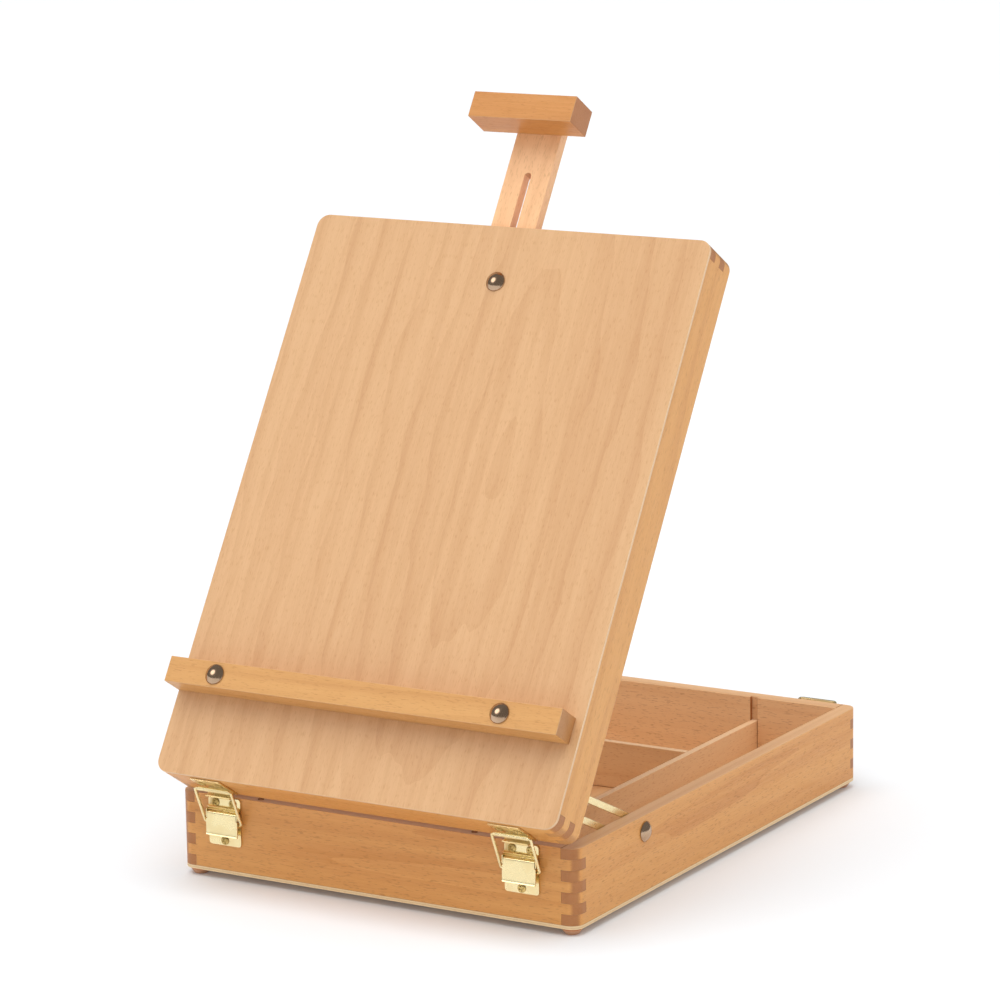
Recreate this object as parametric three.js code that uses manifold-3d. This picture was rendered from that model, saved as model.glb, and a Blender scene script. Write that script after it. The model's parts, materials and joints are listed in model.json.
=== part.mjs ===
// A wooden table easel: a finger-jointed sketch box whose hinged lid is the painting board.
// Millimetres, +Z up. +X runs to the right along the front of the box and +Y runs to its back.
// The sub-parts are drawn about the middle of the underside of the box's bottom panel, and the
// whole easel is then set on the table, with the origin under the middle of its outline.
import * as THREE from 'three';
import { mergeVertices } from 'three/addons/utils/BufferGeometryUtils.js';
import Module from 'manifold-3d';

const wasm = await Module();
wasm.setup();

// ---------------------------------------------------------------- driving dimensions

const BOX_WIDTH = 318;
const BOX_DEPTH = 423;
const WALL = 12;
const CORNER_RADIUS = 9;
const FINGER = 7.6;
const BOX_FINGERS = 7;
const LID_FINGERS = 4;
const BOTTOM_PLY = 2.6;
const GAP = 0.3;
const JOINT_GAP = 0.16;

const WALL_HEIGHT = BOX_FINGERS * FINGER;
const RIM = BOTTOM_PLY + WALL_HEIGHT;
const LID_BASE = RIM + GAP;
const RAIL_FOOT = 1.8;
const RAIL_HEIGHT = RAIL_FOOT + LID_FINGERS * FINGER;
const PANEL = 2.2;
const PANEL_BASE = LID_BASE + RAIL_HEIGHT + 0.2;
const LID_TOP = PANEL_BASE + PANEL;

const LEFT = -BOX_WIDTH / 2;
const RIGHT = BOX_WIDTH / 2;
const FRONT = -BOX_DEPTH / 2;
const REAR = BOX_DEPTH / 2;
const OUTLINE_STEPS = 6;

const FOOT_HEIGHT = 5;
const FOOT_TOP_RADIUS = 7.3;
const FOOT_TIP_RADIUS = 5;
const FOOT_INSET = 9.5;

const DIVIDER = 5;
const DIVIDER_TOP = 38;
const GROOVE_DEPTH = 3;
const MAIN_DIVIDER_X = 78.5;
const CROSS_DIVIDER_Y = 98.5;

const PIN_RADIUS = 2.2;
const PIN_XS = { left: -95, right: 77 };
const PIN_PROUD = 1.2;
const PIN_DEPTH = 5.5;

// The lid turns about the front latches' hooks, just ahead of the front rim.
const TILT = THREE.MathUtils.degToRad(57.9);
const HINGE_Y = FRONT - 2.1;
const HINGE_Z = RIM + 1.8;

const LATCH_XS = { front: { left: -121, right: 117.5 }, rear: { left: -111.5, right: 111.5 } };
const LATCH_HALF = 13.2;
const LATCH_LOW = 20.8;
const LATCH_SCREWS = [{ x: -7.1, z: 50.2 }, { x: 7.1, z: 50.2 }, { x: 0, z: 25.6 }];
const SHEET = 1;
const EAR = { reach: 5.2, half: 3.2, thickness: 0.9 };
const LEVER_PIN = { out: 3.4, z: 43.8, radius: 0.8 };
const KNUCKLE = { half: 12, radius: 2 };
const LEVER = { half: 12.9, low: 28.5, high: 40.3, out: 5.3 };
const LEVER_LIP = { low: 27.6, out: 6.2 };
const LEVER_TAB = { near: 1.7, far: 4.5, half: 2.3, thickness: 1 };
const BAIL_FOOT = { out: 2.9, z: 37.5 };
const BAIL_LENGTH = 28.8;
const BAIL_HALF = 15;
const BAIL_WIRE = 1.1;
const BAIL_BAND = { half: 13.6, height: 3.3, thickness: 1.6 };
const BAIL_FOOT_END = { front: LEVER.half + 0.4, rear: LEVER.half - 2 };
const BAIL_LEAN = { front: THREE.MathUtils.degToRad(24), rear: THREE.MathUtils.degToRad(69) };
const SMALL_SCREW = [[0, 0], [3.1, 0], [2.6, 0.7], [1.4, 1.1], [0, 1.1]];

const CATCH_HALF = 12.5;
const CATCH_SHEET = 0.9;
const CATCH_LOW = 1.6;
const CATCH_HIGH = 29;
const CATCH_HOOK = { half: 10, out: 6.4, low: 5.2, thickness: 1, tip: 3 };
const CATCH_SCREW = { x: 7, rise: 20.5 };

const LEDGE_LENGTH = 312;
const LEDGE_HEIGHT = 18.5;
const LEDGE_DEPTH = 20;
const LEDGE_OFFSET = 58.8;
const LEDGE_BOLT_XS = { left: -119.5, right: 107.5 };

const BOLT_SHANK = 2.4;
const BOLT_HOLE = 2.8;
const DOME_RADIUS = 7.2;
const DOME_HEIGHT = 3.6;
const DOME_STEPS = 4;
const LEDGE_BOLT_TAIL = 9;
const MAST_BOLT_TAIL = 10;
const SIDE_BOLT_TAIL = 9;
const HEX_NUT = { radius: 5.6, height: 5 };
const WASHER = { radius: 7, height: 1.3 };
const WING_HUB = { tip: 4.2, seat: 5.8, height: 7 };
const WING_SHEET = 2.2;

const MAST_WIDTH = 36;
const MAST_THICKNESS = 8;
const MAST_LENGTH = 400;
const MAST_TOP = 515;
const MAST_SLOT_TOP = 466;
const MAST_SLOT_FOOT = 135;
const MAST_BOLT_OFFSET = 381;
const HEAD_WIDTH = 83;
const HEAD_HEIGHT = 19.5;
const HEAD_DEPTH = 25.4;
const HEAD_SHIFT = -4;
const HEAD_SCREW_X = 10;

const ARM_PIVOT = { offset: 26.7, rise: 13.6 };
const ARM_PIVOT_SHANK = 2;
const ARM_WIDTH = 19.2;
const ARM_SLOT = 9.4;
const ARM_SHEET = 1.5;
const ARM_ANGLE = THREE.MathUtils.degToRad(-25.33);
const ARM_SLOT_NEAR = 24;
const ARM_SLOT_FAR = 113;
const SIDE_BOLT = { y: FRONT + 94, z: 44.5 };
const SIDE_NECK = 1.4;
const ARM_SCREW = { radius: 5.2, shoulder: 4.4, flat: 2.5, rise: 1.6, height: 2.4, tail: 6 };

// ---------------------------------------------------------------- materials

const BEECH = { color: 0xd79a5e, roughness: 0.45, metalness: 0 };
const PANEL_BEECH = { color: 0xe0a96c, roughness: 0.45, metalness: 0 };
const PLYWOOD = { color: 0xe6cfa2, roughness: 0.6, metalness: 0 };
const BRASS = { color: 0xd2a94a, roughness: 0.3, metalness: 1 };
const NICKEL = { color: 0xc4c2bb, roughness: 0.25, metalness: 1 };
const FOOT_WOOD = { color: 0xc4703c, roughness: 0.5, metalness: 0 };

// ---------------------------------------------------------------- solids

const UP = new THREE.Vector3(0, 0, 1);
const OUTWARD = new THREE.Vector3(0, -1, 0);

function toSolid(geometry) {
  const bare = geometry.clone();
  bare.deleteAttribute('normal');
  bare.deleteAttribute('uv');
  const merged = mergeVertices(bare, 1e-5);
  return new wasm.Manifold(new wasm.Mesh({
    numProp: 3,
    vertProperties: Float32Array.from(merged.attributes.position.array),
    triVerts: Uint32Array.from(merged.index.array),
  }));
}

function toGeometry(solid) {
  const mesh = solid.getMesh();
  const geometry = new THREE.BufferGeometry();
  geometry.setAttribute('position', new THREE.BufferAttribute(mesh.vertProperties, 3));
  geometry.setIndex(new THREE.BufferAttribute(mesh.triVerts, 1));
  geometry.computeVertexNormals();
  return geometry;
}

function block(low, high) {
  const geometry = new THREE.BoxGeometry(high[0] - low[0], high[1] - low[1], high[2] - low[2]);
  geometry.translate((low[0] + high[0]) / 2, (low[1] + high[1]) / 2, (low[2] + high[2]) / 2);
  return toSolid(geometry);
}

// A lathe turned about +Z, then laid along the given axis; profile points are [radius, height].
function turned(profile, axis, at, segments = 12) {
  const points = profile.map(([radius, height]) => new THREE.Vector2(radius, height));
  const geometry = new THREE.LatheGeometry(points, segments);
  const turn = new THREE.Quaternion().setFromUnitVectors(new THREE.Vector3(0, 1, 0), axis);
  geometry.applyQuaternion(turn);
  geometry.translate(at[0], at[1], at[2]);
  return toSolid(geometry);
}

function rod(radius, from, to, segments = 12) {
  const start = new THREE.Vector3(...from);
  const axis = new THREE.Vector3(...to).sub(start);
  const length = axis.length();
  const profile = [[0, 0], [radius, 0], [radius, length], [0, length]];
  return turned(profile, axis.normalize(), from, segments);
}

function roundedOutline(x0, y0, x1, y1, radius) {
  const shape = new THREE.Shape();
  shape.moveTo(x0 + radius, y0);
  shape.lineTo(x1 - radius, y0);
  shape.absarc(x1 - radius, y0 + radius, radius, -Math.PI / 2, 0);
  shape.absarc(x1 - radius, y1 - radius, radius, 0, Math.PI / 2);
  shape.absarc(x0 + radius, y1 - radius, radius, Math.PI / 2, Math.PI);
  shape.absarc(x0 + radius, y0 + radius, radius, Math.PI, 1.5 * Math.PI);
  return shape;
}

function prism(shape, base, height, steps = OUTLINE_STEPS) {
  const settings = { depth: height, bevelEnabled: false, curveSegments: steps };
  const geometry = new THREE.ExtrudeGeometry(shape, settings);
  geometry.translate(0, 0, base);
  return toSolid(geometry);
}

function cutAll(solid, cutters) {
  return cutters.reduce((rest, cutter) => rest.subtract(cutter), solid);
}

function joinAll(solids) {
  return solids.reduce((whole, piece) => whole.add(piece));
}

function part(name, solid, look) {
  const mesh = new THREE.Mesh(toGeometry(solid), new THREE.MeshStandardMaterial(look));
  mesh.name = name;
  return mesh;
}

// ---------------------------------------------------------------- finger-jointed frames

// The cutters that leave, in a wall's corner, only the fingers the wall owns. The lowest finger
// is taller by the wall's plain foot.
function fingerNotches(cornerX, cornerY, base, fingers, firstOwned, foot) {
  const reach = WALL + JOINT_GAP;
  const lowX = cornerX < 0 ? LEFT - 1 : RIGHT - reach;
  const highX = cornerX < 0 ? LEFT + reach : RIGHT + 1;
  const lowY = cornerY < 0 ? FRONT - 1 : REAR - reach;
  const highY = cornerY < 0 ? FRONT + reach : REAR + 1;
  const cutters = [];
  for (let finger = 1 - firstOwned; finger < fingers; finger += 2) {
    const start = base + finger * FINGER - JOINT_GAP / 2;
    const end = base + (finger + 1) * FINGER + JOINT_GAP / 2;
    const low = finger === 0 ? base - foot - 1 : start;
    const high = finger === fingers - 1 ? end + 1 : end;
    cutters.push(block([lowX, lowY, low], [highX, highY, high]));
  }
  return cutters;
}

function frameWall(side, base, fingers, firstOwned, foot = 0) {
  const footprint = roundedOutline(LEFT, FRONT, RIGHT, REAR, CORNER_RADIUS);
  const outline = prism(footprint, base - foot, foot + fingers * FINGER);
  const top = base + fingers * FINGER + 1;
  const slabs = {
    front: [[LEFT - 1, FRONT - 1, base - foot - 1], [RIGHT + 1, FRONT + WALL, top]],
    rear: [[LEFT - 1, REAR - WALL, base - foot - 1], [RIGHT + 1, REAR + 1, top]],
    left: [[LEFT - 1, FRONT - 1, base - foot - 1], [LEFT + WALL, REAR + 1, top]],
    right: [[RIGHT - WALL, FRONT - 1, base - foot - 1], [RIGHT + 1, REAR + 1, top]],
  };
  const corners = {
    front: [[-1, -1], [1, -1]],
    rear: [[-1, 1], [1, 1]],
    left: [[-1, -1], [-1, 1]],
    right: [[1, -1], [1, 1]],
  };
  const notches = corners[side].flatMap(
    ([x, y]) => fingerNotches(x, y, base, fingers, firstOwned, foot),
  );
  return cutAll(outline.intersect(block(...slabs[side])), notches);
}

function mainGroove(y0, y1) {
  const half = DIVIDER / 2 + GAP;
  return block([MAIN_DIVIDER_X - half, y0, BOTTOM_PLY - 1], [MAIN_DIVIDER_X + half, y1, RIM + 1]);
}

function boxFrontWall() {
  const groove = mainGroove(FRONT + WALL - GROOVE_DEPTH, FRONT + WALL + 1);
  const sockets = Object.values(PIN_XS).map(
    (x) => pinSolid(x, PIN_RADIUS + 0.1, RIM - PIN_DEPTH - 0.5, RIM + 1),
  );
  return cutAll(frameWall('front', BOTTOM_PLY + JOINT_GAP, BOX_FINGERS, 1), [groove, ...sockets]);
}

function boxRearWall() {
  const groove = mainGroove(REAR - WALL - 1, REAR - WALL + GROOVE_DEPTH);
  return frameWall('rear', BOTTOM_PLY + JOINT_GAP, BOX_FINGERS, 1).subtract(groove);
}

function sideBoltHole(sign) {
  return rod(BOLT_HOLE, [sign * (RIGHT - WALL - 1), SIDE_BOLT.y, SIDE_BOLT.z],
    [sign * (RIGHT + 1), SIDE_BOLT.y, SIDE_BOLT.z]);
}

function boxLeftWall() {
  const half = DIVIDER / 2 + GAP;
  const groove = block([LEFT + WALL - GROOVE_DEPTH, CROSS_DIVIDER_Y - half, BOTTOM_PLY - 1],
    [LEFT + WALL + 1, CROSS_DIVIDER_Y + half, RIM + 1]);
  return cutAll(frameWall('left', BOTTOM_PLY + JOINT_GAP, BOX_FINGERS, 0), [groove, sideBoltHole(-1)]);
}

function boxRightWall() {
  return frameWall('right', BOTTOM_PLY + JOINT_GAP, BOX_FINGERS, 0).subtract(sideBoltHole(1));
}

function bottomPanel() {
  return prism(roundedOutline(LEFT, FRONT, RIGHT, REAR, CORNER_RADIUS), 0, BOTTOM_PLY);
}

function foot() {
  const profile = [[0, 0], [FOOT_TIP_RADIUS, 0], [FOOT_TOP_RADIUS, FOOT_HEIGHT - 1],
    [FOOT_TOP_RADIUS, FOOT_HEIGHT - GAP], [0, FOOT_HEIGHT - GAP]];
  return turned(profile, new THREE.Vector3(0, 0, 1), [0, 0, -FOOT_HEIGHT], 16);
}

function mainDivider() {
  const ends = [FRONT + WALL - GROOVE_DEPTH + GAP, REAR - WALL + GROOVE_DEPTH - GAP];
  return block([MAIN_DIVIDER_X - DIVIDER / 2, ends[0], BOTTOM_PLY + GAP],
    [MAIN_DIVIDER_X + DIVIDER / 2, ends[1], DIVIDER_TOP]);
}

function crossDivider() {
  return block([LEFT + WALL - GROOVE_DEPTH + GAP, CROSS_DIVIDER_Y - DIVIDER / 2, BOTTOM_PLY + GAP],
    [MAIN_DIVIDER_X - DIVIDER / 2 - GAP, CROSS_DIVIDER_Y + DIVIDER / 2, DIVIDER_TOP]);
}

function pinSolid(x, radius, low, high) {
  return rod(radius, [x, FRONT + WALL / 2, low], [x, FRONT + WALL / 2, high], 10);
}

// ---------------------------------------------------------------- lid, drawn closed

function ledgeBoltHoles(low, high) {
  return Object.values(LEDGE_BOLT_XS).map((x) => {
    const y = FRONT + LEDGE_OFFSET + LEDGE_HEIGHT / 2;
    return rod(BOLT_HOLE, [x, y, low], [x, y, high]);
  });
}

function lidPanel() {
  const sheet = prism(roundedOutline(LEFT, FRONT, RIGHT, REAR, CORNER_RADIUS), PANEL_BASE, PANEL);
  const mastHole = rod(BOLT_HOLE, [0, FRONT + MAST_BOLT_OFFSET, PANEL_BASE - 1],
    [0, FRONT + MAST_BOLT_OFFSET, LID_TOP + 1]);
  return cutAll(sheet, [mastHole, ...ledgeBoltHoles(PANEL_BASE - 1, LID_TOP + 1)]);
}

function lidRail(side, firstOwned) {
  return frameWall(side, LID_BASE + RAIL_FOOT, LID_FINGERS, firstOwned, RAIL_FOOT);
}

function lidFrontRail() {
  const pockets = Object.values(PIN_XS).map(
    (x) => pinSolid(x, PIN_RADIUS + 1, LID_BASE - 1, LID_BASE + 2 * PIN_PROUD),
  );
  return cutAll(lidRail('front', 1), pockets);
}

function lidRearRail() {
  const half = MAST_WIDTH / 2 + GAP;
  const passage = block([-half, REAR - WALL - 1, mastLow() - GAP], [half, REAR + 1, PANEL_BASE + 1]);
  return lidRail('rear', 1).subtract(passage);
}

function lidSideRail(side, sign) {
  const y = FRONT + ARM_PIVOT.offset;
  const z = LID_BASE + ARM_PIVOT.rise;
  const mouth = [sign * (RIGHT - WALL - 1), y, z];
  const pilot = rod(ARM_PIVOT_SHANK + 0.2, mouth, [sign * (RIGHT - WALL + ARM_SCREW.tail + 0.4), y, z]);
  return lidRail(side, 0).subtract(pilot);
}

function canvasLedge() {
  const y = FRONT + LEDGE_OFFSET;
  const far = [LEFT + LEDGE_LENGTH, y + LEDGE_HEIGHT, LID_TOP + GAP + LEDGE_DEPTH];
  const bar = block([LEFT, y, LID_TOP + GAP], far);
  return cutAll(bar, ledgeBoltHoles(LID_TOP, LID_TOP + LEDGE_DEPTH + 2));
}

// The rounded head of a carriage bolt, from its rim on z = seat to its crown.
function domeProfile(seat) {
  const profile = [];
  for (let step = 0; step < DOME_STEPS; step += 1) {
    const angle = (step / DOME_STEPS) * (Math.PI / 2);
    profile.push([DOME_RADIUS * Math.cos(angle), seat + GAP + DOME_HEIGHT * Math.sin(angle)]);
  }
  profile.push([0, seat + GAP + DOME_HEIGHT]);
  return profile;
}

// A carriage bolt that stands on z = seat with its shank reaching down by length.
function carriageBolt(seat, length) {
  const shank = [[0, seat - length], [BOLT_SHANK, seat - length], [BOLT_SHANK, seat + GAP]];
  return [...shank, ...domeProfile(seat)];
}

function ledgeBolt(x) {
  const y = FRONT + LEDGE_OFFSET + LEDGE_HEIGHT / 2;
  const seat = LID_TOP + GAP + LEDGE_DEPTH;
  const length = LEDGE_DEPTH + PANEL + LEDGE_BOLT_TAIL;
  return turned(carriageBolt(seat, length), UP, [x, y, 0], 16);
}

// A nut and its washer in one piece, with the washer's face on z = top + 1.
function hexNut(x, y, top) {
  const { radius, height } = HEX_NUT;
  const nut = turned([[0, -height], [radius, -height], [radius, 0], [0, 0]], UP, [x, y, top], 6);
  const sink = 1 - WASHER.height;
  const outline = [[0, sink], [WASHER.radius, sink], [WASHER.radius, 1], [0, 1]];
  const washer = turned(outline, UP, [x, y, top], 14);
  return joinAll([nut, washer]).subtract(rod(BOLT_HOLE, [x, y, top - height - 1], [x, y, top + 2]));
}

function wing(sign) {
  const shape = new THREE.Shape();
  shape.moveTo(sign * 2, 0);
  shape.lineTo(sign * 6, 0);
  shape.quadraticCurveTo(sign * 13, -6, sign * 12.4, -10.5);
  shape.quadraticCurveTo(sign * 11, -13.5, sign * 8.6, -11);
  shape.quadraticCurveTo(sign * 7, -7, sign * 2, -6.5);
  shape.closePath();
  const settings = { depth: WING_SHEET, bevelEnabled: false, curveSegments: 3 };
  const geometry = new THREE.ExtrudeGeometry(shape, settings);
  geometry.translate(0, 0, -WING_SHEET / 2);
  geometry.rotateX(Math.PI / 2);
  return toSolid(geometry);
}

// A wing nut with its seat on the plane z = 0 and its wings along X, reaching down.
function wingNut() {
  const { tip, seat, height } = WING_HUB;
  const hub = turned([[0, -height], [tip, -height], [seat, 0], [0, 0]], UP, [0, 0, 0], 14);
  const bore = rod(BOLT_HOLE, [0, 0, -height - 1], [0, 0, 1]);
  return joinAll([hub, wing(-1), wing(1)]).subtract(bore);
}

function mastTopFace() {
  return PANEL_BASE - GAP;
}

function mastLow() {
  return mastTopFace() - MAST_THICKNESS;
}

function mast() {
  const low = mastLow();
  const foot = FRONT + MAST_TOP - MAST_LENGTH;
  const far = [MAST_WIDTH / 2, FRONT + MAST_TOP, low + MAST_THICKNESS];
  const bar = block([-MAST_WIDTH / 2, foot, low], far);
  const radius = BOLT_SHANK + GAP;
  const slot = roundedOutline(-radius, FRONT + MAST_SLOT_FOOT, radius, FRONT + MAST_SLOT_TOP, radius);
  return bar.subtract(prism(slot, low - 1, MAST_THICKNESS + 2));
}

function mastHead() {
  const low = mastTopFace() + GAP;
  const y = FRONT + MAST_TOP;
  return block([HEAD_SHIFT - HEAD_WIDTH / 2, y - HEAD_HEIGHT, low],
    [HEAD_SHIFT + HEAD_WIDTH / 2, y, low + HEAD_DEPTH]);
}

function mastHeadScrew() {
  const profile = [[0, -2.2], [3.4, -2.2], [3.9, -1.4], [3.9, -GAP], [0, -GAP]];
  return turned(profile, UP, [0, 0, 0], 12);
}

function mastBolt() {
  const length = PANEL + MAST_THICKNESS + MAST_BOLT_TAIL;
  return turned(carriageBolt(LID_TOP, length), UP, [0, FRONT + MAST_BOLT_OFFSET, 0], 16);
}

// ---------------------------------------------------------------- draw latches
// Drawn on a wall whose outer face is y = 0, with -Y pointing away from the box.

// A rod that runs across the latch, along X.
function crossRod(radius, half, out, z, segments = 12) {
  return rod(radius, [-half, -out, z], [half, -out, z], segments);
}

// A thin upright cheek whose outer face is at x = sign * half.
function cheek(sign, half, thickness, near, far, low, high) {
  const edges = [sign * half, sign * (half - thickness)].sort((a, b) => a - b);
  return block([edges[0], -far, low], [edges[1], -near, high]);
}

function latchBase() {
  const skin = GAP + SHEET;
  const plate = block([-LATCH_HALF, -skin, LATCH_LOW], [LATCH_HALF, -GAP, RIM - 0.4]);
  const ears = [-1, 1].map((sign) => cheek(
    sign, LATCH_HALF, EAR.thickness, skin - 0.2, EAR.reach,
    LEVER_PIN.z - EAR.half, LEVER_PIN.z + EAR.half,
  ));
  const pin = crossRod(LEVER_PIN.radius, LATCH_HALF - 0.2, LEVER_PIN.out, LEVER_PIN.z);
  const screws = LATCH_SCREWS.map(({ x, z }) => turned(SMALL_SCREW, OUTWARD, [x, -skin + 0.05, z], 10));
  return joinAll([plate, pin, ...ears, ...screws]);
}

function latchLever() {
  const { half, low, high, out } = LEVER;
  const knuckle = crossRod(KNUCKLE.radius, KNUCKLE.half, LEVER_PIN.out, LEVER_PIN.z);
  const neck = block([-KNUCKLE.half, -out, low], [KNUCKLE.half, -out + SHEET, LEVER_PIN.z]);
  const plate = block([-half, -out, low], [half, -out + SHEET, high]);
  const lip = block([-half, -LEVER_LIP.out, LEVER_LIP.low], [half, -out + SHEET, low + 0.2]);
  const tabs = [-1, 1].map((sign) => cheek(
    sign, half, LEVER_TAB.thickness, LEVER_TAB.near, LEVER_TAB.far,
    BAIL_FOOT.z - LEVER_TAB.half, BAIL_FOOT.z + LEVER_TAB.half,
  ));
  const pinBore = crossRod(LEVER_PIN.radius + GAP, half + 1, LEVER_PIN.out, LEVER_PIN.z);
  const bailBore = crossRod(BAIL_WIRE + GAP, half + 1, BAIL_FOOT.out, BAIL_FOOT.z);
  const tabsWithBores = joinAll(tabs).subtract(bailBore);
  return joinAll([plate, neck, lip, knuckle, tabsWithBores]).subtract(pinBore);
}

function bailElbow(x, z) {
  const ball = new THREE.SphereGeometry(BAIL_WIRE, 8, 4);
  ball.translate(x, 0, z);
  return toSolid(ball);
}

// A wire frame with its feet on the X axis and a flattened top bar at z = BAIL_LENGTH.
function latchBail(footEnd) {
  const solids = [rod(BAIL_WIRE, [-BAIL_HALF, 0, BAIL_LENGTH], [BAIL_HALF, 0, BAIL_LENGTH], 8)];
  for (const sign of [-1, 1]) {
    const x = sign * BAIL_HALF;
    solids.push(rod(BAIL_WIRE, [x, 0, 0], [x, 0, BAIL_LENGTH], 8));
    solids.push(rod(BAIL_WIRE, [x, 0, 0], [sign * footEnd, 0, 0], 8));
    solids.push(bailElbow(x, 0));
    solids.push(bailElbow(x, BAIL_LENGTH));
  }
  const { half, height, thickness } = BAIL_BAND;
  solids.push(block([-half, -thickness / 2, BAIL_LENGTH - height / 2],
    [half, thickness / 2, BAIL_LENGTH + height / 2]));
  return joinAll(solids);
}

// A catch plate with an upturned lip, for the lid's edge above the latch.
function latchCatch() {
  const skin = GAP + CATCH_SHEET;
  const { half, out, low, thickness, tip } = CATCH_HOOK;
  const plate = block([-CATCH_HALF, -skin, LID_BASE + CATCH_LOW],
    [CATCH_HALF, -GAP, LID_BASE + CATCH_HIGH]);
  const shelf = block([-half, -out, LID_BASE + low], [half, -skin + 0.2, LID_BASE + low + thickness]);
  const edge = block([-half, -out, LID_BASE + low], [half, -out + thickness, LID_BASE + low + tip]);
  const screws = [-1, 1].map((sign) => {
    const at = [sign * CATCH_SCREW.x, -skin + 0.05, LID_BASE + CATCH_SCREW.rise];
    return turned(SMALL_SCREW, OUTWARD, at, 10);
  });
  return joinAll([plate, shelf, edge, ...screws]);
}

// ---------------------------------------------------------------- side arms

// A flat slotted arm lying in the plane x = 0, pivot hole at the origin, reaching along +Y.
function sideArm() {
  const half = ARM_WIDTH / 2;
  const far = ARM_SLOT_FAR + ARM_SLOT / 2 + 5;
  const outline = roundedOutline(-half, -half, half, far, half - 0.1);
  const sheet = prism(outline, -ARM_SHEET / 2, ARM_SHEET, 5);
  const slotHalf = ARM_SLOT / 2;
  const slotEnd = ARM_SLOT_FAR + slotHalf;
  const slotShape = roundedOutline(-slotHalf, ARM_SLOT_NEAR, slotHalf, slotEnd, slotHalf - 0.05);
  const slot = prism(slotShape, -ARM_SHEET, 2 * ARM_SHEET, 5);
  const hole = rod(ARM_PIVOT_SHANK + 0.4, [0, 0, -ARM_SHEET], [0, 0, ARM_SHEET]);
  const flat = toGeometry(cutAll(sheet, [slot, hole]));
  flat.rotateY(Math.PI / 2);
  return toSolid(flat);
}

// The shank starts at the rail's inner face and the head lies over the arm, along +Z.
function armPivotScrew() {
  const seat = ARM_SHEET + 2 * GAP;
  const { radius, shoulder, flat, rise, height, tail } = ARM_SCREW;
  const shank = [[0, -tail], [ARM_PIVOT_SHANK, -tail], [ARM_PIVOT_SHANK, seat]];
  const head = [[radius, seat], [shoulder, seat + rise], [flat, seat + height], [0, seat + height]];
  return turned([...shank, ...head], UP, [0, 0, 0], 20);
}

// A carriage bolt through the wall; its neck is slim where the arm's slot passes over it.
function sideBolt() {
  const inside = -(ARM_SHEET + 2 * GAP);
  const end = inside - SIDE_BOLT_TAIL;
  const shank = [[0, end], [BOLT_SHANK, end], [BOLT_SHANK, inside],
    [SIDE_NECK, inside], [SIDE_NECK, 0], [BOLT_SHANK, 0], [BOLT_SHANK, WALL + GAP]];
  return turned([...shank, ...domeProfile(WALL)], UP, [0, 0, 0], 16);
}

// ---------------------------------------------------------------- placing

function addBox(easel) {
  easel.add(part('box_front_wall', boxFrontWall(), BEECH));
  easel.add(part('box_rear_wall', boxRearWall(), BEECH));
  easel.add(part('box_left_wall', boxLeftWall(), BEECH));
  easel.add(part('box_right_wall', boxRightWall(), BEECH));
  easel.add(part('box_bottom_panel', bottomPanel(), PLYWOOD));
  easel.add(part('main_divider', mainDivider(), BEECH));
  easel.add(part('cross_divider', crossDivider(), BEECH));
  for (const side of ['left', 'right']) {
    const pin = pinSolid(PIN_XS[side], PIN_RADIUS - 0.2, RIM - PIN_DEPTH, RIM + PIN_PROUD);
    easel.add(part(`locating_pin_${side}`, pin, NICKEL));
  }
  for (const end of ['front', 'rear']) {
    for (const side of ['left', 'right']) {
      const mesh = part(`foot_${end}_${side}`, foot(), FOOT_WOOD);
      const x = side === 'left' ? LEFT + FOOT_INSET : RIGHT - FOOT_INSET;
      const y = end === 'front' ? FRONT + FOOT_INSET : REAR - FOOT_INSET;
      mesh.position.set(x, y, 0);
      easel.add(mesh);
    }
  }
}

function addLatches(easel) {
  for (const end of ['front', 'rear']) {
    for (const side of ['left', 'right']) {
      const latch = new THREE.Group();
      latch.position.set(LATCH_XS[end][side], end === 'front' ? FRONT : REAR, 0);
      latch.rotation.z = end === 'front' ? 0 : Math.PI;
      latch.add(part(`latch_base_${end}_${side}`, latchBase(), BRASS));
      latch.add(part(`latch_lever_${end}_${side}`, latchLever(), BRASS));
      const bail = part(`latch_bail_${end}_${side}`, latchBail(BAIL_FOOT_END[end]), BRASS);
      bail.position.set(0, -BAIL_FOOT.out, BAIL_FOOT.z);
      bail.rotation.x = BAIL_LEAN[end];
      latch.add(bail);
      easel.add(latch);
    }
  }
}

function addCatches(lid) {
  for (const end of ['front', 'rear']) {
    for (const side of ['left', 'right']) {
      const mesh = part(`latch_catch_${end}_${side}`, latchCatch(), BRASS);
      mesh.position.set(LATCH_XS[end][side], end === 'front' ? FRONT : REAR, 0);
      mesh.rotation.z = end === 'front' ? 0 : Math.PI;
      lid.add(mesh);
    }
  }
}

function addMast(lid) {
  lid.add(part('mast', mast(), BEECH));
  lid.add(part('mast_head', mastHead(), BEECH));
  lid.add(part('mast_bolt', mastBolt(), NICKEL));
  for (const [side, sign] of [['left', -1], ['right', 1]]) {
    const screw = part(`mast_head_screw_${side}`, mastHeadScrew(), NICKEL);
    screw.position.set(sign * HEAD_SCREW_X, FRONT + MAST_TOP - HEAD_HEIGHT / 2, mastLow());
    lid.add(screw);
  }
  const nut = part('mast_wing_nut', wingNut(), NICKEL);
  nut.position.set(0, FRONT + MAST_BOLT_OFFSET, mastLow() - GAP);
  lid.add(nut);
}

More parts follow.
